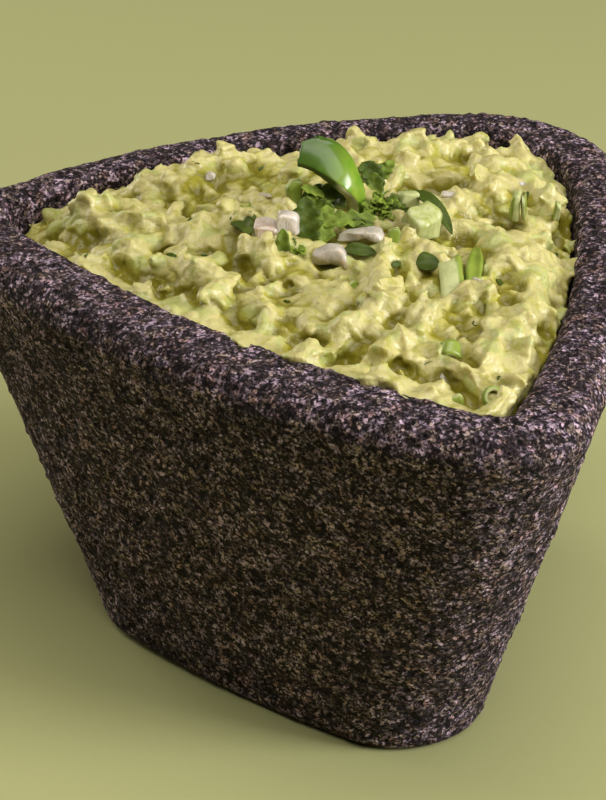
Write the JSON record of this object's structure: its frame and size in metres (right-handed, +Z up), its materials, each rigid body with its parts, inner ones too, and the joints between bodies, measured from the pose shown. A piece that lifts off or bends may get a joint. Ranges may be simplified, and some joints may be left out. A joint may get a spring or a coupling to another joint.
{
  "type": "guacamole in stone bowl",
  "caption": "Lumpy guacamole heaped in a rounded-triangular volcanic stone bowl, topped with a chili curl, onion dice and herbs.",
  "frame": {"origin": "middle of the bounding box in plan, on the surface that the bowl stands on", "axes": "+Z up, +Y towards the blunt back corner, -Y towards the broad front side, +X to the right along the longest side"},
  "size_m": [0.1758, 0.1596, 0.1267],
  "materials": {
    "stone": "matte",
    "guacamole": "satin",
    "chili": "gloss",
    "onion": "satin",
    "avocado": "satin"
  },
  "bodies": {
    "root": {"stone_bowl": "stone", "guacamole": "guacamole", "chili_curl": "chili", "onion_dice_1": "onion", "onion_dice_2": "onion", "onion_dice_3": "onion", "onion_dice_4": "onion", "avocado_dice": "avocado"}
  },
  "joints": []
}
